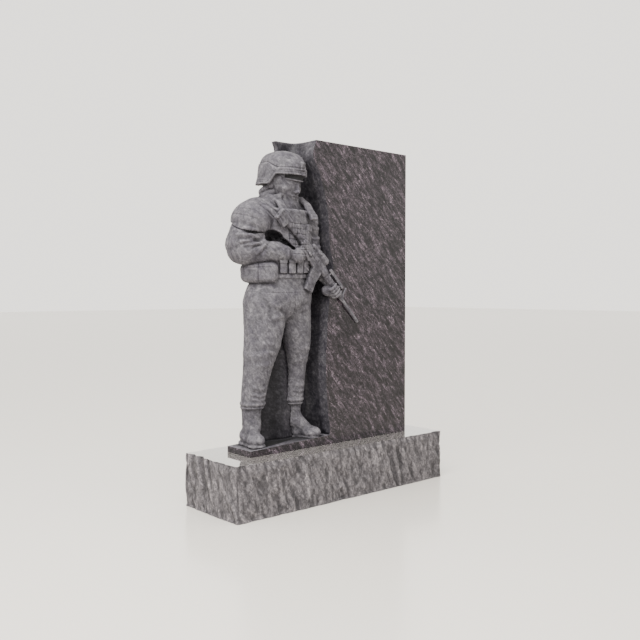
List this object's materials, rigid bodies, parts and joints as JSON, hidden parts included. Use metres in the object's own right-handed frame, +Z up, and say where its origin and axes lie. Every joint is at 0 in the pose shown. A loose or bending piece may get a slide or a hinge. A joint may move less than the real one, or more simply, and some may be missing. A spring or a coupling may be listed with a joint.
{
  "type": "granite headstone",
  "caption": "Upright polished granite tablet on a rock-pitched base, with a standing soldier holding a rifle carved from the tablet's left end.",
  "frame": {"origin": "centre of the bounding box's bottom, on the base's underside", "axes": "+X along the base towards the viewer's right, +Y from the polished front to the back, +Z up"},
  "size_m": [1.1174, 0.3556, 1.4195],
  "materials": {
    "split_granite": "rock-pitched sides, polished top, sawn underside",
    "polished_granite": "polished face, honed hollow, fine-tooled carving"
  },
  "bodies": {
    "root": {"base": "split_granite", "carved_tablet": "polished_granite"}
  },
  "joints": []
}
